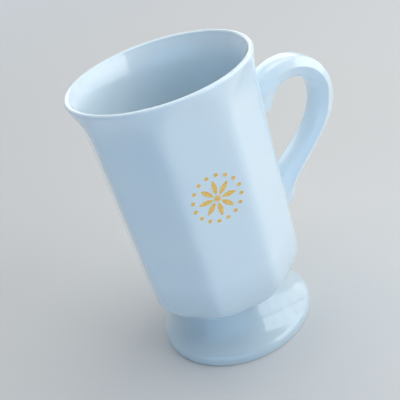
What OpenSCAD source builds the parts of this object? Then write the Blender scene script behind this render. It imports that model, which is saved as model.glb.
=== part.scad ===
// Footed porcelain cup for milky coffee: an eight-sided bowl that turns round
// at its lip and at its neck, a domed hollow foot and a looped strap handle,
// fired as one piece, with a small gilt rosette printed on the front panel.
// Frame: the cup's axis is Z and the foot stands on Z = 0. The handle points
// along +X, and the gilt panel faces -Y.

/* [Bowl] */
// Height from the table to the top of the lip
cup_h = 131.5; // [124:0.5:140]
// Outer diameter of the round lip
rim_d = 80; // [77:0.5:86]
// How far the lip stands out beyond the panels' tops
rim_out = 4.25; // [2.5:0.05:5]
// How much closer to the axis the panels are at the belly than at their tops
panel_draw = 0.8; // [0:0.1:2]
// Depth under the lip at which the panels start to flare out to it
flare_drop = 22.3; // [18:0.1:28]
// Depth under the lip at which the panels' corners start to fade
fade_drop = 12.9; // [8:0.1:16]
// Height over the neck at which the panels start to round in to it
belly_h = 13; // [11:0.5:18]
// How much of a sharp corner is left between two panels, as a share
corner_share = 0.69; // [0.55:0.01:0.98]
// Thickness of the bowl's wall, at the middle of a panel
wall = 3.1; // [2.5:0.1:4]
// Thickness of the lip
lip_t = 2.6; // [2:0.1:3.2]
// Thickness of the floor over the neck
floor_t = 6; // [4:0.5:9]

/* [Foot] */
// Diameter of the narrow neck between bowl and foot
neck_d = 46; // [40:0.5:50]
// Height of the neck over the table
neck_z = 21; // [18:0.5:23]
// Diameter of the foot
foot_d = 73; // [68:0.5:80]
// Height of the upright band round the foot
foot_band = 2.2; // [1.5:0.1:3]
// Height of the rounded edge above that band
foot_edge = 6; // [4:0.1:7]
// Width of the flat ring that the foot stands on
foot_ring = 3.4; // [2.8:0.1:5]
// Depth of the hollow under the foot
foot_hollow = 13; // [8:0.5:15]

/* [Handle] */
// Depth under the lip at which the handle's upper root leaves the bowl
root_drop = 31.05; // [26:0.05:34]
// Height between the handle's two roots
handle_h = 46.4; // [43:0.2:50]
// Distance from the panel to the middle of the strap, where it is farthest out
reach = 31.2; // [27:0.05:36]
// Depth of that farthest place under the upper root
reach_drop = 3.6; // [0:0.05:8]
// Width of the strap, across the handle
strap_w = 16; // [13:0.1:18]
// Thickness of the strap round the loop
strap_t = 9; // [7:0.1:10]
// Thickness of the strap's lower arm, at its thinnest
arm_t = 7.4; // [6:0.1:9]
// Thickness of the strap at its two roots
root_t = 12.6; // [10:0.1:15]

/* [Gilding] */
// Diameter of the printed rosette, with its ring of dots
motif_d = 22; // [14:0.5:24]
// Depth of the rosette's middle under the start of the flare
motif_drop = 23.7; // [16:0.1:40]
// Number of petals
petals = 8; // [6:1:10]
// Thickness of the gilding
gilt_t = 0.12; // [0.08:0.01:0.3]

/* [Hidden] */

porcelain = [0.80, 0.87, 0.93];
gold = [0.85, 0.66, 0.27];

// The eight panels, and how far a sharp corner would stand out from them
panel_count = 8;
panel_turn = 360 / panel_count;
corner_rise = corner_share * (1 / cos(panel_turn / 2) - 1);
// How far the planes of the panels pull outwards where the bowl is round
round_pull = 0.014;

rim_r = rim_d / 2;
top_r = rim_r - rim_out;
low_r = top_r - panel_draw;
neck_r = neck_d / 2;
foot_r = foot_d / 2;
lip_round = lip_t / 2;
lip_z = cup_h - lip_round;
flare_z = cup_h - flare_drop;
fade_z = cup_h - fade_drop;
belly_z = neck_z + belly_h;
motif_z = flare_z - motif_drop;
panel_slope = (top_r - low_r) / (flare_z - belly_z);
panel_lean = atan(panel_slope);

// Curve powers: the flare of the lip, and the two of the rounded belly
flare_power = 3.78;
belly_power_z = 2.2;
belly_power_r = 1.7;
// The belly's curve on the inside, where it is a little squarer
floor_power = 3;
// The part of the belly's height over which the corners grow from nothing
corner_run = 1;

// Steps along the curves
flare_steps = 14;
belly_steps = 16;
lip_steps = 8;
edge_steps = 8;
hollow_steps = 12;
round_fn = 96;

// Radius at the middle of a panel, at height z: the panel's plane, that plane
// with the flare over it, the belly under it, and the whole from neck to lip
function straight_r(z) = low_r + panel_slope * (z - belly_z);
function flare_share(z) = max(0, (z - flare_z) / (lip_z - flare_z));
function flare_r(z) = straight_r(z) + (rim_r - straight_r(lip_z)) * pow(flare_share(z), flare_power);
function belly_share(z) = max(0, (belly_z - z) / belly_h);
function belly_r(z) = neck_r + (low_r - neck_r)
    * pow(max(0, 1 - pow(belly_share(z), belly_power_z)), 1 / belly_power_r);
function panel_r(z) = z < belly_z ? belly_r(z) : flare_r(z);

// How eight-sided the bowl is at height z: 1 along the panels, 0 at neck and lip
function eight_share(z) = z > fade_z ? cos(90 * (z - fade_z) / (lip_z - fade_z))
    : sin(90 * min(1, (z - neck_z) / belly_h / corner_run));
function corner_r(z) = panel_r(z) * (1 + corner_rise * eight_share(z));
function plane_r(z) = panel_r(z) * (1 + round_pull * (1 - eight_share(z)));

// Heights at which the outlines have a point, from the neck to the lip. The
// belly's steps crowd towards the neck, where the outline turns fastest. The
// panels have theirs halfway between those of the turned body, so that no
// crease of a panel ends on a crease of the body.
function belly_height(i) = neck_z + belly_h * (1 - cos(90 * i / belly_steps));
function flare_height(i) = flare_z + (lip_z - flare_z) * i / flare_steps;
turned_heights = concat([for (i = [0:belly_steps - 1]) belly_height(i)],
    [for (i = [1:flare_steps]) flare_height(i)]);
panel_heights = concat([for (i = [0:belly_steps - 1]) belly_height(i + 0.5)],
    [belly_z, flare_z], [for (i = [0:flare_steps - 1]) flare_height(i + 0.5)]);

// The foot's outline: an upright band, a rounded edge and a hollow run to the neck
edge_turn = 75;
edge_depth = 6.2;
run_power = 1.6;
run_r = foot_r - edge_depth * (1 - cos(edge_turn));
run_z = foot_band + foot_edge * sin(edge_turn);
foot_chamfer = 0.6;
foot_edge_points = [for (i = [0:edge_steps]) let (a = edge_turn * i / edge_steps)
    [foot_r - edge_depth * (1 - cos(a)), foot_band + foot_edge * sin(a)]];
foot_run_points = [for (i = [1:edge_steps - 1]) let (s = i / edge_steps)
    [run_r + (neck_r - run_r) * s, run_z + (neck_z - run_z) * pow(s, run_power)]];

// The lip: a half round from the outer wall to the inner one
lip_points = [for (i = [1:lip_steps - 1]) let (a = 180 * i / lip_steps)
    [rim_r - lip_round + lip_round * cos(a), lip_z + lip_round * sin(a)]];

// Radius of the cavity at height z above the belly
function cavity_r(z) = flare_r(z) - wall + (wall - lip_t) * flare_share(z);

floor_z = neck_z + floor_t;
cavity_belly_z = belly_z + wall;
cavity_belly_points = [for (i = [0:belly_steps - 1]) let (a = 90 * i / belly_steps,
    h = cos(a)) [cavity_r(cavity_belly_z) * pow(max(0, 1 - pow(h, floor_power)), 1 / floor_power),
    cavity_belly_z - (cavity_belly_z - floor_z) * h]];

// The handle's middle line: two Bezier curves that meet at the farthest place.
// The upper one starts a little inside the panel's plane, the lower one outside.
top_sink = 0.1;
low_stand = 1;
root_top_z = cup_h - root_drop;
root_low_z = root_top_z - handle_h;
root_top = [straight_r(root_top_z) - top_sink, root_top_z];
root_low = [straight_r(root_low_z) + low_stand, root_low_z];
loop_end = [top_r + reach, root_top_z - reach_drop];
// The directions in which it leaves the bowl, in degrees over the horizontal,
// and the pulls of the curves' ends, in the order in which they follow it
top_angle = 61;
low_angle = 70;
top_pull = 0.46 * handle_h;
loop_pull = 0.33 * handle_h;
drop_pull = 0.446 * handle_h;
low_pull = 0.293 * handle_h;
top_way = [cos(top_angle), sin(top_angle)];
low_way = [cos(low_angle), sin(low_angle)];
strap_steps = 13;
strap_sides = 20;
// A power under 1 makes the strap's section squarer than an ellipse
strap_power = 0.85;
// The rounded ends of the strap, which lie in the bowl's wall
cap_steps = 5;
cap_len = 5.5;
cap_last = 0.96;
// The share of each curve's length over which the root swells
swell_run = 0.62;
// The share of the lower curve over which the strap thins down to the arm
arm_run = 0.5;

function bezier(a, b, c, d, t) = pow(1 - t, 3) * a + 3 * pow(1 - t, 2) * t * b
    + 3 * (1 - t) * t * t * c + pow(t, 3) * d;
function upper(t) = bezier(root_top, root_top + top_pull * top_way,
    loop_end + [0, loop_pull], loop_end, t);
function lower(t) = bezier(loop_end, loop_end - [0, drop_pull],
    root_low + low_pull * low_way, root_low, t);
function swell(t) = pow(max(0, 1 - t / swell_run), 2);
function upper_t(t) = strap_t + (root_t - strap_t) * swell(t);
function lower_t(t) = strap_t + (arm_t - strap_t) * (1 - cos(180 * min(1, t / arm_run))) / 2
    + (root_t - arm_t) * swell(1 - t);
function unit(v) = v / norm(v);

// Stations along the strap: [middle, thickness, share of the full section]
top_cap = [for (i = [0:cap_steps - 1]) let (u = cap_last * (1 - i / cap_steps))
    [root_top - cap_len * u * top_way, root_t, sqrt(1 - u * u)]];
low_cap = [for (i = [1:cap_steps]) let (u = cap_last * i / cap_steps)
    [root_low - cap_len * u * low_way, root_t, sqrt(1 - u * u)]];
upper_run = [for (i = [0:strap_steps]) let (t = i / strap_steps) [upper(t), upper_t(t), 1]];
lower_run = [for (i = [1:strap_steps]) let (t = i / strap_steps) [lower(t), lower_t(t), 1]];
stations = concat(top_cap, upper_run, lower_run, low_cap);
last_station = len(stations) - 1;

function way(i) = unit(stations[min(last_station, i + 1)][0] - stations[max(0, i - 1)][0]);
function squared(v) = sign(v) * pow(abs(v), strap_power);
// One ring of the strap: x and z follow its middle line, y runs across it
function strap_ring(i) = let (m = stations[i][0], t = stations[i][1] * stations[i][2],
    w = strap_w * stations[i][2], d = way(i))
    [for (k = [0:strap_sides - 1]) let (a = 360 * k / strap_sides,
        out = t / 2 * squared(cos(a)), side = w / 2 * squared(sin(a)))
        [m[0] + d[1] * out, side, m[1] - d[0] * out]];

// The rosette
petal_in = 0.16;
petal_out = 0.74;
petal_swell = 0.32;
dot_count = 2 * petals;
dot_share = 0.075;
heart_share = 0.12;
// How far a cutting shape runs past the face that it cuts
past = 1;

module cup() {
    color(porcelain)
    difference() {
        union() {
            eight_sided_body();
            handle();
        }
        cavity();
        foot_cavity();
    }
}

// Bowl, neck and foot in one: a turned body, cut flat by four pairs of panels
module eight_sided_body() {
    intersection() {
        rotate_extrude($fn = round_fn)
            polygon(concat([[0, 0], [foot_r - foot_chamfer, 0]], foot_edge_points, foot_run_points,
                [for (z = turned_heights) [corner_r(z), z]], lip_points, [[0, cup_h]]));
        intersection_for (i = [0:panel_count / 2 - 1])
            rotate([0, 0, panel_turn * i])
            panel_pair();
    }
}

// Two opposite panels: the space between them, wide open at the foot and lip
module panel_pair() {
    open_r = rim_r + foot_r;
    side = concat([[open_r, -past], [open_r, neck_z], [plane_r(neck_z), neck_z]],
        [for (z = panel_heights) [plane_r(z), z]],
        [[open_r, lip_z], [open_r, cup_h + past]]);
    other = [for (i = [len(side) - 1:-1:0]) [-side[i][0], side[i][1]]];
    rotate([90, 0, 0])
    linear_extrude(height = 2 * open_r, center = true)
        polygon(concat(side, other));
}

// The round space inside the bowl
module cavity() {
    inner_lip = [for (i = [0:lip_steps / 2]) let (a = 180 - 180 * i / lip_steps)
        [rim_r - lip_round + lip_round * cos(a), lip_z + lip_round * sin(a)]];
    rotate_extrude($fn = round_fn)
        polygon(concat([[0, floor_z]], cavity_belly_points,
            [[cavity_r(cavity_belly_z), cavity_belly_z]],
            [for (i = [0:flare_steps - 1]) [cavity_r(flare_height(i)), flare_height(i)]], inner_lip,
            [[rim_r - lip_round, cup_h + past], [0, cup_h + past]]));
}

// The domed hollow under the foot
module foot_cavity() {
    hollow_r = foot_r - foot_chamfer - foot_ring;
    rotate_extrude($fn = round_fn)
        polygon(concat([[0, -past], [hollow_r, -past]], [for (i = [0:hollow_steps - 1])
            let (a = 90 * i / hollow_steps) [hollow_r * cos(a), foot_hollow * sin(a)]],
            [[0, foot_hollow]]));
}

// The strap handle, swept along its middle line
module handle() {
    rings = [for (i = [0:last_station]) strap_ring(i)];
    sides = [for (i = [0:last_station - 1], k = [0:strap_sides - 1]) let (a = i * strap_sides,
        n = (k + 1) % strap_sides) [a + k, a + k + strap_sides, a + n + strap_sides, a + n]];
    first_cap = [for (k = [0:strap_sides - 1]) k];
    end_cap = [for (k = [strap_sides - 1:-1:0]) last_station * strap_sides + k];
    polyhedron(points = [for (r = rings, p = r) p], faces = concat([first_cap], sides, [end_cap]),
        convexity = 4);
}

// The gilt print, lying on the front panel
module gilt_motif() {
    color(gold)
    translate([0, -straight_r(motif_z), motif_z])
    rotate([90 + panel_lean, 0, 0])
    linear_extrude(height = gilt_t)
        rosette();
}

module rosette() {
    r = motif_d / 2;
    circle(r = heart_share * r, $fn = 48);
    for (i = [0:petals - 1])
        rotate([0, 0, 360 * i / petals])
        petal(petal_in * r, petal_out * r);
    for (i = [0:dot_count - 1])
        rotate([0, 0, 360 * (i + 0.5) / dot_count])
        translate([0, r * (1 - dot_share)])
        circle(r = dot_share * r, $fn = 24);
}

// A pointed petal between two radii, where two equal circles overlap
module petal(from_r, to_r) {
    half = (to_r - from_r) / 2;
    bulge = half * petal_swell;
    arc_r = (half * half + bulge * bulge) / (2 * bulge);
    intersection() {
        translate([arc_r - bulge, from_r + half]) circle(r = arc_r, $fn = 96);
        translate([bulge - arc_r, from_r + half]) circle(r = arc_r, $fn = 96);
    }
}

cup();
gilt_motif();
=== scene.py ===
# %% [markdown]
# # A footed porcelain cup
#
# This notebook dresses a tall footed cup for photography. The cup is one piece
# of glazed porcelain: an eight-sided bowl with a round flared lip, a narrow
# neck, a domed foot with a hollow under it, and a looped strap handle. A small
# gilt rosette is printed on its front panel.
#
# The solid model has the cup's true sizes, but its curves are cut into short
# straight steps, and two solids meet in a hard crease. Here the cup is modelled
# again as a cage of four-sided faces, which Subdivision Surface turns into one
# flowing skin, as a glaze does. The rosette's own solid is good as it is, and
# only gets a better material.
#
# The frame: the cup's axis is Z, it stands on Z = 0, the handle points along
# +X and the rosette faces -Y. Sizes are in metres, written as millimetres.

# %% The frame and the imported solids
import math
import bmesh
import bpy
from mathutils import Matrix, Vector


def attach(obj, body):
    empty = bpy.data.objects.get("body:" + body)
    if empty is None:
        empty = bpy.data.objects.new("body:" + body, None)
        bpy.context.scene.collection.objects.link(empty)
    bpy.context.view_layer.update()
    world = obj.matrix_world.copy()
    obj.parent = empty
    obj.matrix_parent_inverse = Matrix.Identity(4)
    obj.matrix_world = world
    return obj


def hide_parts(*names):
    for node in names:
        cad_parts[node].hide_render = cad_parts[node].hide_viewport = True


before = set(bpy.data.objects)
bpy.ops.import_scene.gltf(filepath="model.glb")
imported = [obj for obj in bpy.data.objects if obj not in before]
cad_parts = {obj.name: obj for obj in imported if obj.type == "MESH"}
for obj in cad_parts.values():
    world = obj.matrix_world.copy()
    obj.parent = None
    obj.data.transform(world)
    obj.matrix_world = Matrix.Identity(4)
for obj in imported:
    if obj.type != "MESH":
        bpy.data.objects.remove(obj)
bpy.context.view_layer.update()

mm = 0.001

# %% [markdown]
# ## The cup's sizes
#
# A potter would draw half of the cup's outline and turn it round the axis. So
# the outline comes first, as a few lengths and curves: how far the skin is from
# the axis at each height. The straight part of the bowl leans out a little. The
# lip flares from it by a power curve, which starts gently and ends fast, and
# the belly rounds in to the neck by a curve like a squared ellipse.

# %% Sizes of the bowl, the neck and the foot
cup_h = 131.5 * mm
rim_r = 40 * mm
top_r = 35.75 * mm
low_r = 34.95 * mm
neck_r = 23 * mm
neck_z = 21 * mm
belly_z = 34 * mm
flare_z = 109.2 * mm
fade_z = 118.6 * mm
flare_power = 3.78
belly_power_z = 2.2
belly_power_r = 1.7
floor_power = 3
wall = 3.1 * mm
lip_t = 2.6 * mm
floor_z = 27 * mm
foot_r = 36.5 * mm
foot_band = 2.2 * mm
foot_edge = 3.8 * mm
edge_depth = 3.6 * mm
slope_start = 0.54
slope_power = 2.8
foot_chamfer = 0.6 * mm
foot_ring = 3.4 * mm
ring_edge = 0.4 * mm
foot_hollow = 13 * mm
lip_round = lip_t / 2
lip_z = cup_h - lip_round
panel_slope = (top_r - low_r) / (flare_z - belly_z)


def straight_r(z):
    return low_r + panel_slope * (z - belly_z)


def flare_share(z):
    return min(1, max(0, (z - flare_z) / (lip_z - flare_z)))


def flare_r(z):
    return straight_r(z) + (rim_r - straight_r(lip_z)) * flare_share(z) ** flare_power


def belly_r(z):
    share = min(1, (belly_z - z) / (belly_z - neck_z))
    bulge = (1 - share ** belly_power_z) ** (1 / belly_power_r)
    return neck_r + (low_r - neck_r) * bulge


def panel_r(z):
    return belly_r(z) if z < belly_z else flare_r(z)


def cavity_r(z):
    return flare_r(z) - wall + (wall - lip_t) * flare_share(z)


print("radius at neck, belly, flare and lip, in mm:",
      [round(panel_r(z) / mm, 2) for z in (neck_z, belly_z, flare_z, lip_z)])

# %% [markdown]
# ## From eight-sided to round
#
# The bowl has eight flat panels, but its lip and neck are round. On the real
# cup the mould's flats fade out, and the glaze softens what is left of their
# edges. Here each ring of the cage has 64 points, eight to a panel. A point
# lies on its panel's plane, which is further from the axis the closer it is to
# a corner, or on the turned outline, whichever is closer to the axis. How far
# that outline stands out for the corners is a share: 1 along the panels, and
# fading to 0 towards the lip and the neck. The planes move out by a hair as it
# fades, so that the flats end in a soft arc and not in a line.

# %% How far out a point of a ring lies
panels = 8
columns = 64
half_panel = math.pi / panels
corner_share = 0.8
round_pull = 0.014
corner_rise = corner_share * (1 / math.cos(half_panel) - 1)


def eight_share(z):
    if z > fade_z:
        return math.cos(math.pi / 2 * (z - fade_z) / (lip_z - fade_z))
    climb = min(1, max(0, (z - neck_z) / (belly_z - neck_z)))
    return math.sin(math.pi / 2 * climb)


def off_panel(x, y):
    """The angle between a point and the middle of its panel."""
    return abs((math.atan2(y, x) + half_panel) % (2 * half_panel) - half_panel)


def bowl_factor(z, angle):
    """How much further out than the panel's middle the bowl is at this angle."""
    share = eight_share(z)
    turned = 1 + corner_rise * share
    plane = (1 + round_pull * (1 - share)) / math.cos(angle)
    return min(turned, plane)


# %% [markdown]
# ## The outline as a list of rings
#
# The rings follow the whole skin in one line: from the middle of the hollow
# under the foot, out over the ring that the cup stands on, up round the foot's
# soft edge, in to the neck, up the bowl, over the lip and down the inside to
# the middle of the floor. Rings lie close together where the line turns fast,
# because there the smooth skin has to follow it closely. Two stretches of the
# bowl get evenly spaced rings, because the handle will grow out of them.

# %% The rings, as radius, height and whether the ring is eight-sided
root_rows = 6
top_patch = (91.5 * mm, 115.5 * mm)
low_patch = (45 * mm, 69 * mm)


def between(start, end, count):
    """Evenly spaced values from start to just before end."""
    return [start + (end - start) * i / count for i in range(count)]


def degrees(*angles):
    return [math.radians(a) for a in angles]


hollow_r = foot_r - foot_chamfer - foot_ring
edge_end = math.radians(56)
slope_r = foot_r - edge_depth * (1 - math.cos(edge_end))
slope_z = foot_band + foot_edge * math.sin(edge_end)


def foot_rise(share):
    """How far up the foot's slope is, from 0 at its edge to 1 at the neck."""
    return slope_start * share + (1 - slope_start) * share ** slope_power


rings = [(hollow_r * math.cos(a), foot_hollow * math.sin(a), False)
         for a in degrees(82, 66, 49, 33, 18, 7)]
ring_end = foot_r - foot_chamfer
rings += [(r, 0, False) for r in (hollow_r, hollow_r + ring_edge, hollow_r + foot_ring / 2,
                                  ring_end - ring_edge, ring_end)]
rings += [(foot_r - edge_depth * (1 - math.cos(a)), foot_band + foot_edge * math.sin(a), False)
          for a in degrees(-14, 0, 14, 28, 42, 56)]
slope_rings = 8
for i in range(1, slope_rings + 1):
    share = i / (slope_rings + 1)
    rings.append((slope_r + (neck_r - slope_r) * share,
                  slope_z + (neck_z - slope_z) * foot_rise(share), False))
rings += [(belly_r(z), z, True) for z in
          [neck_z + (belly_z - neck_z) * (1 - math.cos(a))
           for a in degrees(0, 9, 18, 27, 36, 46, 57, 68, 79)]]
bowl_heights = between(belly_z, low_patch[0], 2) + between(*low_patch, root_rows)
bowl_heights += between(low_patch[1], top_patch[0], 3) + between(*top_patch, root_rows)
bowl_heights += between(top_patch[1], lip_z, 7) + [lip_z]
rings += [(panel_r(z), z, True) for z in bowl_heights]
rings += [(rim_r - lip_round + lip_round * math.cos(a), lip_z + lip_round * math.sin(a), False)
          for a in degrees(30, 60, 90, 120, 150)]
cavity_z = belly_z + wall
inside_heights = between(lip_z, flare_z, 7) + between(flare_z, cavity_z, 4)
rings += [(cavity_r(z), z, False) for z in inside_heights]
for a in degrees(90, 75, 61, 48, 36, 25, 16, 8):
    depth = math.cos(a)
    rings.append((cavity_r(cavity_z) * (1 - depth ** floor_power) ** (1 / floor_power),
                  cavity_z - (cavity_z - floor_z) * depth, False))
print(len(rings), "rings of", columns, "points")

# %% [markdown]
# ## Turning the cage, ring by ring
#
# The first ring is added as a circle with its middle filled, inside the hollow
# of the foot. Every other ring is the one before, extruded, lifted and sized,
# just as a hand would do it with E, G and S. On the bowl the columns of points
# are then sized once more, four at a time from each panel, to make the flats.
# One last fan of triangles closes the floor.

# %% Helpers for working in edit mode


def choose(wanted):
    """Select just those points of the edited mesh for which the test wanted(point) holds."""
    mesh = bmesh.from_edit_mesh(bpy.context.object.data)
    mesh.verts.index_update()
    for point in mesh.verts:
        point.select_set(False)
    for point in mesh.verts:
        if wanted(point):
            point.select_set(True)
    mesh.select_flush_mode()


def point_count():
    return len(bmesh.from_edit_mesh(bpy.context.object.data).verts)


def size_about(middle, factors):
    bpy.ops.transform.resize(value=factors, center_override=middle)


def column_angle(column):
    """The angle off the panel's middle of columns that lie this many steps from it."""
    return column * 2 * math.pi / columns


def turn_ring(before, ring):
    """Extrude the selected ring to the next one, and flatten it where the bowl is eight-sided."""
    (old_r, old_z, was_eight), (r, z, is_eight) = before, ring
    bpy.ops.mesh.extrude_region()
    bpy.ops.transform.translate(value=(0, 0, z - old_z))
    size_about((0, 0, z), (r / old_r, r / old_r, 1))
    first = point_count() - columns
    for column in range(1, columns // panels // 2 + 1):
        angle = column_angle(column)
        factor = bowl_factor(z, angle) if is_eight else 1
        factor /= bowl_factor(old_z, angle) if was_eight else 1
        if abs(factor - 1) > 1e-6:
            choose(lambda p: p.index >= first
                   and abs(off_panel(p.co.x, p.co.y) - angle) < half_panel / columns)
            size_about((0, 0, z), (factor, factor, 1))
    choose(lambda p: p.index >= first)


# %% The turned cage
bpy.ops.object.select_all(action="DESELECT")
bpy.ops.mesh.primitive_circle_add(vertices=columns, radius=rings[0][0], fill_type="TRIFAN",
                                  location=(0, 0, rings[0][1]))
cup = bpy.context.object
cup.name = "porcelain_cup"
bpy.ops.object.transform_apply(location=True, rotation=True, scale=True)
bpy.ops.object.mode_set(mode="EDIT")
bpy.ops.mesh.select_mode(type="VERT")
choose(lambda p: p.co.xy.length > rings[0][0] / 2)
for before, ring in zip(rings, rings[1:]):
    turn_ring(before, ring)
bpy.ops.mesh.extrude_region()
bpy.ops.mesh.merge(type="CENTER")
bpy.ops.object.mode_set(mode="OBJECT")
print("cage:", len(cup.data.vertices), "points,", len(cup.data.polygons), "faces")

# %% [markdown]
# ## The handle's line
#
# The real handle is a strap of clay, bent and stuck to the bowl with slip. Seen
# from the side it is the space between two outlines, one round the finger gap
# and one outside. Its middle line is two Bezier curves that meet where the loop
# is farthest out, and it is thickest at its roots. Each root ends in a small
# rounded toe that stands proud of the wall, below the upper root and below the
# lower one.

# %% The handle's middle line and its two sides
loop_end = Vector((66.95 * mm, 96.85 * mm))
# Each arm: the height of its root, its curve's pull out of the wall, and its
# pull where it meets the other arm
upper_root, upper_pull, upper_turn = 100.45 * mm, 21.3 * mm, 15.4 * mm
lower_root, lower_pull, lower_turn = 54.05 * mm, 13.6 * mm, 20.7 * mm
strap_w = 16 * mm
strap_t = 9 * mm
arm_t = 7.4 * mm
root_t = 12.6 * mm
swell_run = 0.62
taper_run = 0.5
toe_len = 5.5 * mm
toe_speed = 4.25
toe_max = 0.97


def leaving(angle):
    return Vector((math.cos(math.radians(angle)), math.sin(math.radians(angle))))


def wall_point(z, out):
    return Vector((straight_r(z) + out, z))


def swell(t):
    return max(0, 1 - t / swell_run) ** 2


def ease(t):
    return (1 - math.cos(math.pi * max(0, min(1, t)))) / 2


# Each arm runs from its root at t = 0 to the end of the loop at t = 1. The side
# of the finger gap lies clockwise of the upper arm and anticlockwise of the lower.
upper = {"curve": (wall_point(upper_root, out=-0.1 * mm), upper_pull * leaving(61),
                   Vector((0, upper_turn)), loop_end),
         "thick": lambda t: strap_t + (root_t - strap_t) * swell(t)}
lower = {"curve": (wall_point(lower_root, out=1 * mm), lower_pull * leaving(70),
                   Vector((0, -lower_turn)), loop_end),
         "thick": lambda t: strap_t + (arm_t - strap_t) * ease((1 - t) / taper_run)
         + (root_t - arm_t) * swell(t)}


def on_arm(arm, t):
    """The middle of the strap at t, and the direction in which it runs there."""
    root, root_pull, end_pull, end = arm["curve"]
    a, b, c, d = root, root + root_pull, end + end_pull, end
    point = (1 - t) ** 3 * a + 3 * (1 - t) ** 2 * t * b + 3 * (1 - t) * t ** 2 * c + t ** 3 * d
    run = (1 - t) ** 2 * (b - a) + 2 * (1 - t) * t * (c - b) + t ** 2 * (d - c)
    return point, run.normalized()


def strap_side(arm, t, clockwise):
    """A point on one side of the strap; below t = 0 it goes round the toe."""
    toe = min(toe_max, max(0, -t * toe_speed))
    middle, run = on_arm(arm, max(0, t))
    half = arm["thick"](max(0, t)) / 2 * math.sqrt(1 - toe ** 2)
    across = Vector((run.y, -run.x)) if clockwise else Vector((-run.y, run.x))
    return middle - run * toe_len * toe + across * half


print("finger gap side of the loop's end, in mm:",
      [round(x / mm, 1) for x in strap_side(upper, 1, True)])

# %% [markdown]
# ## Growing the handle out of the wall
#
# The handle could be a curve with a thick bevel pushed into the bowl, but then
# it would meet the glaze in a hard crease. Growing it out of the wall keeps one
# skin. Six by six faces of the wall are inset and deleted, the hole's edge is
# rounded with To Sphere, and then it is extruded from station to station. Both
# sides of a station follow the strap's outlines, but near the wall they start
# at different places, so that the stations turn from the wall's own plane to
# square across the strap. Bridge Edge Loops joins the two arms at the far end.
#
# A round hole gives a strap with an oval section, but the real strap was pressed
# in a mould: its outer face is nearly flat, with a crease along each side, and
# below the crease the sides taper to a rounded inner face. So at three of the
# first stations the ring's points are also moved, pair by pair, towards that
# section. The stations after them copy it, and the fillet at the wall stays.

# %% Stations of an arm
arm_steps = 15
station_power = 1.4
loop_points = 4 * root_rows
fillet = 1.2 * mm
hole_inset = 1 * mm
hole_roundness = 0.6
hair = 0.01 * mm
# At these stations the ring is brought this share of the way to the strap's section
section_steps = {1: 0.4, 2: 0.6, 4: 1}
# The smooth skin runs a little inside its cage, so the strap's cage is larger
cage_gain = 3 / (2 + math.cos(2 * math.pi / loop_points))


def arm_stations(arm, late_start, toe_end, last):
    """Pairs of points, on the toe's side and on the other, from the wall outwards.

    Both toes hang from the clockwise side of their arm."""
    pairs = []
    for i in range(last + 1):
        s = (i / arm_steps) ** station_power
        late = late_start + (1 - late_start) * s
        early = late - (late_start - toe_end) * (1 - s) ** 2
        pairs.append((strap_side(arm, early, True), strap_side(arm, late, False)))
    return pairs


upper_pairs = arm_stations(upper, late_start=0.13, toe_end=-0.2, last=arm_steps)
lower_pairs = arm_stations(lower, late_start=0.155, toe_end=-0.226, last=arm_steps - 1)
print("stations:", len(upper_pairs), "in the upper arm,", len(lower_pairs), "in the lower one")

# %% Helpers for the handle's rings


def turn_about(middle, angle):
    """Turn what is selected about Y, so that Z goes towards X.

    With no window open, Blender's operator turns the other way round."""
    bpy.ops.transform.rotate(value=-angle, orient_axis="Y", center_override=middle)


def station(low, high, width):
    """A station's middle, its tilt from the vertical, and its half sizes."""
    middle = (low + high) / 2
    reach = high - low
    return (Vector((middle.x, 0, middle.y)), math.atan2(reach.x, reach.y),
            width / 2, reach.length / 2)


def move_ring(old, new):
    """Carry the selected ring from its old station to the new one."""
    bpy.ops.transform.translate(value=new[0] - old[0])
    turn_about(new[0], -old[1])
    size_about(new[0], (1, new[2] / old[2], new[3] / old[3]))
    turn_about(new[0], new[1])


def strap_section(crease):
    """Half of the strap's section, from the middle of its outer face to the middle of
    its inner one, as shares of its half width and half thickness. The side's crease
    lies at this share of the half thickness."""
    shoulder, edge, heel = Vector((0.6, 0.94)), Vector((1, crease)), Vector((0.7, -0.8))
    return ([(0, 1), (0.32, 0.99)] + [shoulder.lerp(edge, t) for t in (0, 0.35, 0.72, 0.93, 1)]
            + [edge.lerp(heel, t) for t in (0.12, 0.55, 1)]
            + [(0.52, -0.99), (0.27, -1.03), (0, -1.04)])


def shape_section(here, outer, crease, blend):
    """Bring the last extruded ring closer to the strap's section, pair by pair.

    The outer face is above where outer is 1, and below where it is -1."""
    middle, tilt, half_w, half_h = here
    up = Vector((math.sin(tilt), 0, math.cos(tilt))) * outer
    mesh = bmesh.from_edit_mesh(bpy.context.object.data)
    places = sorted(((abs(p.co.y) / half_w, (p.co - middle).dot(up) / half_h, p.co.copy())
                     for p in mesh.verts if p.select),
                    key=lambda place: math.atan2(place[0], place[1]))
    pairs = [places[:1]] + [places[i:i + 2] for i in range(1, len(places) - 1, 2)] + [places[-1:]]
    for pair, (wide, high) in zip(pairs, strap_section(crease)):
        old_wide, old_high, _ = pair[0]
        choose(lambda p: any((p.co - place[2]).length < hair for place in pair))
        bpy.ops.transform.translate(value=up * (high - old_high) * half_h * blend)
        if wide:
            size_about(middle, (1, 1 + (wide / old_wide - 1) * blend, 1))
    along = Vector((math.cos(tilt), 0, -math.sin(tilt)))
    choose(lambda p: p.is_boundary and (p.co - middle).length < 2 * half_w
           and abs((p.co - middle).dot(along)) < hair)


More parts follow.
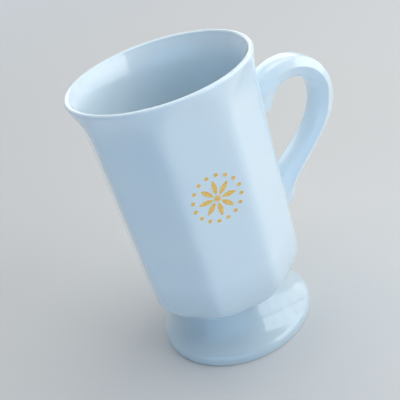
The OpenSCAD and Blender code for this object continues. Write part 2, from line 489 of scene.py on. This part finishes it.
def open_wall(patch):
    """Cut a hole in the +X panel between two heights and select its edge."""
    outside_x = low_r - wall / 3
    reach_y = straight_r(patch[0]) * math.tan(column_angle(root_rows / 2)) + wall / 10
    choose(lambda p: p.co.x > outside_x and abs(p.co.y) < reach_y
           and patch[0] - hair < p.co.z < patch[1] + hair)
    bpy.ops.mesh.inset(thickness=hole_inset)
    bpy.ops.mesh.delete(type="FACE")
    choose(lambda p: p.is_boundary and p.co.x < rim_r)
    bpy.ops.transform.tosphere(value=hole_roundness)
    mesh = bmesh.from_edit_mesh(bpy.context.object.data)
    ring = [p.co.copy() for p in mesh.verts if p.select]
    middle = sum(ring, Vector()) / len(ring)
    size_about(middle, (0, 1, 1))
    print("hole's edge:", len(ring), "points round", [round(x / mm, 1) for x in middle])
    return (middle, 0, max(abs(p.y - middle.y) for p in ring),
            max(abs(p.z - middle.z) for p in ring))


def grow_arm(patch, outer, crease, pairs):
    """Grow an arm out of the wall through its stations."""
    here = open_wall(patch)
    middle, tilt, half_w, half_h = station(*pairs[0], strap_w)
    there = (middle, tilt, half_w + fillet, half_h + fillet)
    move_ring(here, there)
    for i, pair in enumerate(pairs):
        here = there
        middle, tilt, half_w, half_h = station(*pair, strap_w)
        there = (middle, tilt, half_w * cage_gain, half_h * cage_gain)
        bpy.ops.mesh.extrude_region()
        move_ring(here, there)
        if i in section_steps:
            shape_section(there, outer, crease, section_steps[i])


# %% The two arms, joined
bpy.ops.object.mode_set(mode="EDIT")
grow_arm(top_patch, 1, 0.2, upper_pairs)
grow_arm(low_patch, -1, 0.02, lower_pairs)
choose(lambda p: p.is_boundary)
bpy.ops.mesh.bridge_edge_loops()
bpy.ops.mesh.select_all(action="SELECT")
bpy.ops.mesh.normals_make_consistent(inside=False)
bpy.ops.object.mode_set(mode="OBJECT")
print("cage with handle:", len(cup.data.polygons), "faces")

# %% [markdown]
# ## From cage to skin
#
# So far the cup is a coarse cage. A real glaze rounds all that it covers, and
# Subdivision Surface does the same: at level 2 it splits each face in sixteen
# and moves every point to a smooth mean of its neighbours. Bevelled edges could
# round the creases too, but not the slow turn from flats to a round lip. The
# modifier is applied, so that the skin is plain geometry, and closed all round.
#
# The skin then stands for the solid. The solid stays for collision, and the
# skin is what is seen.

# %% The smooth skin
skin_level = 2
smooth = cup.modifiers.new("smooth skin", "SUBSURF")
smooth.levels = smooth.render_levels = skin_level
bpy.ops.object.modifier_apply(modifier=smooth.name)
bpy.ops.object.shade_smooth()
print("skin:", sum(len(face.vertices) - 2 for face in cup.data.polygons), "triangles")

# %% The cup takes its solid's place
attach(cup, "root")
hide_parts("cup")
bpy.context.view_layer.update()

# %% [markdown]
# ## Porcelain under a clear glaze
#
# Glazed porcelain is a dense white body under a layer of glass. The body
# scatters light softly, and the glass on top reflects like a window. The
# Principled shader has both: a diffuse base, and a coat with its own sharp
# gloss. What keeps it from looking like plastic is that the glass isn't
# perfect. It lies in a faint ripple and holds a few pinholes. A node group
# makes those masks once, and the shader itself stays in the material, where
# the export can read it. The material also paints shade: the neck and foot
# get a darker, greyer colour.

# %% A node group for the glaze's small faults


def new_group(name, inputs, outputs):
    """A shader node group with named sockets: name to (kind, default)."""
    group = bpy.data.node_groups.new(name, "ShaderNodeTree")
    for title, (kind, default) in inputs.items():
        socket = group.interface.new_socket(name=title, in_out="INPUT", socket_type=kind)
        socket.default_value = default
    for title, kind in outputs.items():
        group.interface.new_socket(name=title, in_out="OUTPUT", socket_type=kind)
    return group, group.nodes.new("NodeGroupInput"), group.nodes.new("NodeGroupOutput")


def add_node(tree, kind, links=(), **settings):
    """Add a node, set its sockets by name or its properties, and link its inputs."""
    node = tree.nodes.new(kind)
    for key, value in settings.items():
        if key in node.inputs:
            node.inputs[key].default_value = value
        else:
            setattr(node, key, value)
    for target, source in dict(links).items():
        tree.links.new(source, node.inputs[target])
    return node


def ramp(tree, source, low, high, out_low=0.0, out_high=1.0):
    """Map source from low..high to out_low..out_high, clamped."""
    node = add_node(tree, "ShaderNodeMapRange", {"Value": source})
    for title, value in (("From Min", low), ("From Max", high), ("To Min", out_low),
                         ("To Max", out_high)):
        node.inputs[title].default_value = value
    return node.outputs["Result"]


def math_node(tree, operation, a, b):
    node = tree.nodes.new("ShaderNodeMath")
    node.operation = operation
    for socket, value in zip(node.inputs, (a, b)):
        if isinstance(value, (int, float)):
            socket.default_value = value
        else:
            tree.links.new(value, socket)
    return node.outputs[0]


glaze, glaze_in, glaze_out = new_group(
    "glaze_faults",
    {"Position": ("NodeSocketVector", (0, 0, 0)), "Ripple Size": ("NodeSocketFloat", 0.012),
     "Pinholes": ("NodeSocketFloat", 0.5)},
    {"Cloud": "NodeSocketFloat", "Height": "NodeSocketFloat"})
where = glaze_in.outputs["Position"]
ripple_scale = math_node(glaze, "DIVIDE", 1.0, glaze_in.outputs["Ripple Size"])
ripple = add_node(glaze, "ShaderNodeTexNoise", {"Vector": where, "Scale": ripple_scale},
                  Detail=1.0)
cloud = add_node(glaze, "ShaderNodeTexNoise", {"Vector": where}, Scale=28.0, Detail=3.0,
                 Roughness=0.55)
# A pinhole is a dot in the middle of a cell of 6 mm, and few cells have one
cells = add_node(glaze, "ShaderNodeTexVoronoi", {"Vector": where}, Scale=170.0, Randomness=1.0)
dot = ramp(glaze, cells.outputs["Distance"], 0.03, 0.06, 1.0, 0.0)
rare = ramp(glaze, cells.outputs["Color"], 0.9, 0.93)
holes = math_node(glaze, "MULTIPLY", math_node(glaze, "MULTIPLY", dot, rare),
                  glaze_in.outputs["Pinholes"])
glaze.links.new(ramp(glaze, cloud.outputs["Fac"], 0.35, 0.65), glaze_out.inputs["Cloud"])
glaze.links.new(math_node(glaze, "SUBTRACT", ripple.outputs["Fac"], holes),
                glaze_out.inputs["Height"])
print("glaze group sockets:", [item.name for item in glaze.interface.items_tree])

# %% [markdown]
# ## The porcelain's colours, with painted shade on the foot
#
# One flat colour would look like plastic. The body is a cool white with faint
# clouds in it. Below the belly, and most on the neck and the foot, the colour is
# painted darker and greyer: this is painted shade, for the shade under the bowl.
# A ramp over the height blends one pair of colours into the other. The ring that
# the cup stands on was wiped clean before firing. It has no glaze, and shows the
# rough, warmer biscuit.

# %% The porcelain


def new_material(name):
    material = bpy.data.materials.new(name)
    material.use_nodes = True
    return material, material.node_tree, material.node_tree.nodes["Principled BSDF"]


def mix_colour(tree, factor, first, second):
    """Blend two colours, each a tuple or another node's output."""
    node = tree.nodes.new("ShaderNodeMix")
    node.data_type = "RGBA"
    tree.links.new(factor, node.inputs["Factor"])
    for title, value in (("A", first), ("B", second)):
        socket = next(s for s in node.inputs if s.name == title and s.type == "RGBA")
        if isinstance(value, tuple):
            socket.default_value = (*value, 1)
        else:
            tree.links.new(value, socket)
    return next(s for s in node.outputs if s.type == "RGBA")


ripple_depth = 0.4 * mm


def glaze_relief(tree, shader, place):
    """Ripple the shader's normal as the glaze ripples, and return the group's node."""
    faults = add_node(tree, "ShaderNodeGroup", node_tree=glaze)
    tree.links.new(place, faults.inputs["Position"])
    bump = add_node(tree, "ShaderNodeBump", {"Height": faults.outputs["Height"]},
                    Strength=0.25, Distance=ripple_depth)
    tree.links.new(bump.outputs["Normal"], shader.inputs["Normal"])
    return faults


porcelain, tree, shader = new_material("glazed_porcelain")
place = add_node(tree, "ShaderNodeTexCoord").outputs["Object"]
height = add_node(tree, "ShaderNodeSeparateXYZ", {"Vector": place}).outputs["Z"]
faults = glaze_relief(tree, shader, place)
body_white = (0.72, 0.85, 0.95)
cloud_white = (0.75, 0.87, 0.95)
# Painted shade: the neck and foot get these darker, greyer colours, for the shade under the bowl.
foot_shade_white = (0.54, 0.66, 0.74)
foot_shade_cloud = (0.57, 0.69, 0.76)
biscuit = (0.70, 0.68, 0.63)
glaze_rough, biscuit_rough = 0.35, 0.8
wiped_low, wiped_high = 0.5 * mm, 0.9 * mm
foot_shade_low, foot_shade_high = 20 * mm, 46 * mm
bare = ramp(tree, height, wiped_low, wiped_high, 1.0, 0.0)
colour = mix_colour(tree, faults.outputs["Cloud"], body_white, cloud_white)
painted_foot_shade = mix_colour(tree, faults.outputs["Cloud"], foot_shade_white, foot_shade_cloud)
# Painted shade: from the belly down, the colour blends into the darker foot colours.
colour = mix_colour(tree, ramp(tree, height, foot_shade_low, foot_shade_high), painted_foot_shade, colour)
colour = mix_colour(tree, bare, colour, biscuit)
tree.links.new(colour, shader.inputs["Base Color"])
tree.links.new(ramp(tree, bare, 0, 1, glaze_rough, biscuit_rough), shader.inputs["Roughness"])
tree.links.new(ramp(tree, bare, 0, 1, 1.0, 0.0), shader.inputs["Coat Weight"])
shader.inputs["Coat Roughness"].default_value = 0.05
shader.inputs["Coat IOR"].default_value = 1.6
cup.data.materials.clear()
cup.data.materials.append(porcelain)
print("porcelain nodes:", len(porcelain.node_tree.nodes))

# %% [markdown]
# ## Gilding fired onto the glaze
#
# The rosette is gold lustre: a film of gold, brushed or printed on the fired
# glaze and baked once more at a low heat. The film is far thinner than a hair,
# so it follows the ripple of the glaze below, and the same node group bends its
# normal. Fine streaks of a stretched noise are the marks of the brush: where
# the gold lies thinner it is paler and less smooth. It is fired gold and not
# polished leaf, so it is only half metallic, and glows rather than mirrors.

# %% The gilding
gilding, tree, shader = new_material("fired_gilding")
place = add_node(tree, "ShaderNodeTexCoord").outputs["Object"]
glaze_relief(tree, shader, place)
streaks = add_node(tree, "ShaderNodeMapping", {"Vector": place}, Scale=(700, 700, 2200))
brush = add_node(tree, "ShaderNodeTexNoise", {"Vector": streaks.outputs["Vector"]}, Scale=1.0,
                 Detail=3.0)
deep_gold = (0.96, 0.54, 0.10)
pale_gold = (1.0, 0.74, 0.28)
gold = mix_colour(tree, ramp(tree, brush.outputs["Fac"], 0.38, 0.62), deep_gold, pale_gold)
tree.links.new(gold, shader.inputs["Base Color"])
tree.links.new(ramp(tree, brush.outputs["Fac"], 0.3, 0.7, 0.28, 0.45), shader.inputs["Roughness"])
shader.inputs["Metallic"].default_value = 0.5
motif = bpy.data.objects["gilt_motif"]
for slot in motif.material_slots:
    slot.material = gilding
print("gilding on", motif.name, "in", len(motif.material_slots), "slots")

# %% [markdown]
# ## Floor and light
#
# The photo's glaze shows what stood round the cup: a wide window at the right,
# low enough to reach the table, and a dim cool room on the left. The window is
# a bow of five tall lamps, split in two by a bar, because a round foot mirrors
# its panes and bars as bright crooked fields. They are set close, so that a flat
# panel mirrors one even field. A soft lamp behind lights the inside of the bowl
# and the handle's top, a cool one fills the left, and a wide disc above gives
# the light that every room has from its ceiling.
#
# The floor lights the cup from below as white paper does, but is shown a little
# darker, so that the pale cup stands out from it. Far from the cup it fades to
# the backdrop's own tone, and so no horizon line shows from any side.

# %% The studio


def seen_mask(tree):
    """1 where the camera sees a surface, directly or in a gloss or through a glass."""
    rays = add_node(tree, "ShaderNodeLightPath")
    seen = math_node(tree, "MAXIMUM", rays.outputs["Is Camera Ray"], rays.outputs["Is Glossy Ray"])
    return math_node(tree, "MAXIMUM", seen, rays.outputs["Is Transmission Ray"])


floor_size = 6
fade_near, fade_far = 0.25, 1.0
floor_white = (0.88, 0.88, 0.88)
floor_shown = (0.72, 0.72, 0.73)
bpy.ops.mesh.primitive_plane_add(size=floor_size, location=(0, 0, 0))
floor = bpy.context.object
floor.name = "studio_floor"
backdrop = (0.59, 0.63, 0.675)
floor_paint, tree, shader = new_material("floor_paint")
seen = seen_mask(tree)
tree.links.new(mix_colour(tree, seen, floor_white, floor_shown), shader.inputs["Base Color"])
shader.inputs["Roughness"].default_value = 0.9
far = add_node(tree, "ShaderNodeVectorMath",
               {"Vector": add_node(tree, "ShaderNodeTexCoord").outputs["Object"]},
               operation="LENGTH").outputs["Value"]
glow = add_node(tree, "ShaderNodeEmission", Color=(*backdrop, 1))
blend = add_node(tree, "ShaderNodeMixShader",
                 {"Fac": math_node(tree, "MULTIPLY", seen, ramp(tree, far, fade_near, fade_far))})
tree.links.new(shader.outputs["BSDF"], blend.inputs[1])
tree.links.new(glow.outputs["Emission"], blend.inputs[2])
tree.links.new(blend.outputs["Shader"], tree.nodes["Material Output"].inputs["Surface"])
floor.data.materials.append(floor_paint)
print("floor:", floor_size, "m wide, fades from", fade_near, "to", fade_far, "m")

# %% The room
world = bpy.data.worlds.new("studio_room")
bpy.context.scene.world = world
world.use_nodes = True
sky = world.node_tree
room = sky.nodes["Background"]
room.inputs["Color"].default_value = (0.69, 0.84, 0.96, 1)
way_up = add_node(sky, "ShaderNodeSeparateXYZ",
                  {"Vector": add_node(sky, "ShaderNodeTexCoord").outputs["Generated"]})
sky.links.new(ramp(sky, way_up.outputs["Z"], 0.05, 0.5, 0.3, 0.12), room.inputs["Strength"])
pale = add_node(sky, "ShaderNodeBackground", Color=(*backdrop, 1))
blend = add_node(sky, "ShaderNodeMixShader", {"Fac": seen_mask(sky)})
sky.links.new(room.outputs["Background"], blend.inputs[1])
sky.links.new(pale.outputs["Background"], blend.inputs[2])
sky.links.new(blend.outputs["Shader"], sky.nodes["World Output"].inputs["Surface"])

# %% The lamps


def soft_lamp(name, place, size, power, tint):
    """A rectangular lamp that faces the bowl, with its power in watts."""
    data = bpy.data.lights.new(name, "AREA")
    data.shape = "RECTANGLE"
    data.size, data.size_y = size
    data.energy = power
    data.color = tint
    lamp = bpy.data.objects.new(name, data)
    bpy.context.scene.collection.objects.link(lamp)
    lamp.location = place
    toward = Vector((0, 0, 70 * mm)) - lamp.location
    lamp.rotation_euler = toward.to_track_quat("-Z", "Y").to_euler()
    return lamp


window_start, pane_step = -52, 20
pane_w = 0.334
daylight = (0.94, 0.98, 1)
pane_rows = ((0.05, 0.41, 1.624), (0.45, 1.15, 2.181))
for column, share in enumerate((1.15, 1.1, 0.95, 0.72, 0.68)):
    for row, (low, high, glow) in enumerate(pane_rows):
        turn = math.radians(window_start + pane_step * column)
        pane = soft_lamp(f"window_pane_{column}_{row}",
                         (math.cos(turn), math.sin(turn), (low + high) / 2), (pane_w, high - low),
                         share * glow * math.pi * pane_w * (high - low), daylight)
        pane.rotation_euler = (math.pi / 2, 0, turn + math.pi / 2)
soft_lamp("back", (0.15, 1.1, 0.5), (1.3, 0.5), 2.246, (0.97, 0.98, 0.94))
soft_lamp("low_left", (-0.65, -0.75, 0.3), (1.4, 0.8), 2.8, (0.30, 0.62, 1))
ceiling = soft_lamp("ceiling", (0.1, 0.15, 1.3), (1.6, 1.6), 9.4, (1, 0.97, 0.9))
ceiling.data.shape = "DISK"

# %% [markdown]
# ## The camera
#
# The camera stands where the photographer's did: in front, a little to the left
# of the rosette, thirty degrees up and near, and turned on its own axis, so
# that the cup leans to the left in the picture.

# %% The camera
aim = Vector((0, 0, 65.75 * mm))
camera_far = 324.5 * mm
camera_up = math.radians(29.99)
camera_round = math.radians(-10.8)
camera_roll = math.radians(18.36)
photo_px = 400
camera_data = bpy.data.cameras.new("camera")
camera_data.sensor_width = 36
camera_data.lens = 65.19
camera_data.shift_x = -1.31 / photo_px
camera_data.shift_y = 2.84 / photo_px
camera_data.clip_start = 0.01
camera = bpy.data.objects.new("camera", camera_data)
bpy.context.scene.collection.objects.link(camera)
back = Vector((math.sin(camera_round) * math.cos(camera_up),
               -math.cos(camera_round) * math.cos(camera_up), math.sin(camera_up)))
right = Vector((math.cos(camera_round), math.sin(camera_round), 0))
turned = Matrix((right, back.cross(right), back)).transposed().to_4x4()
rolled = turned @ Matrix.Rotation(-camera_roll, 4, "Z")
camera.matrix_world = Matrix.Translation(aim + back * camera_far) @ rolled
bpy.context.scene.camera = camera
bpy.context.scene.view_settings.view_transform = "Standard"
print("camera at, in mm:", [round(x / mm) for x in camera.matrix_world.translation])
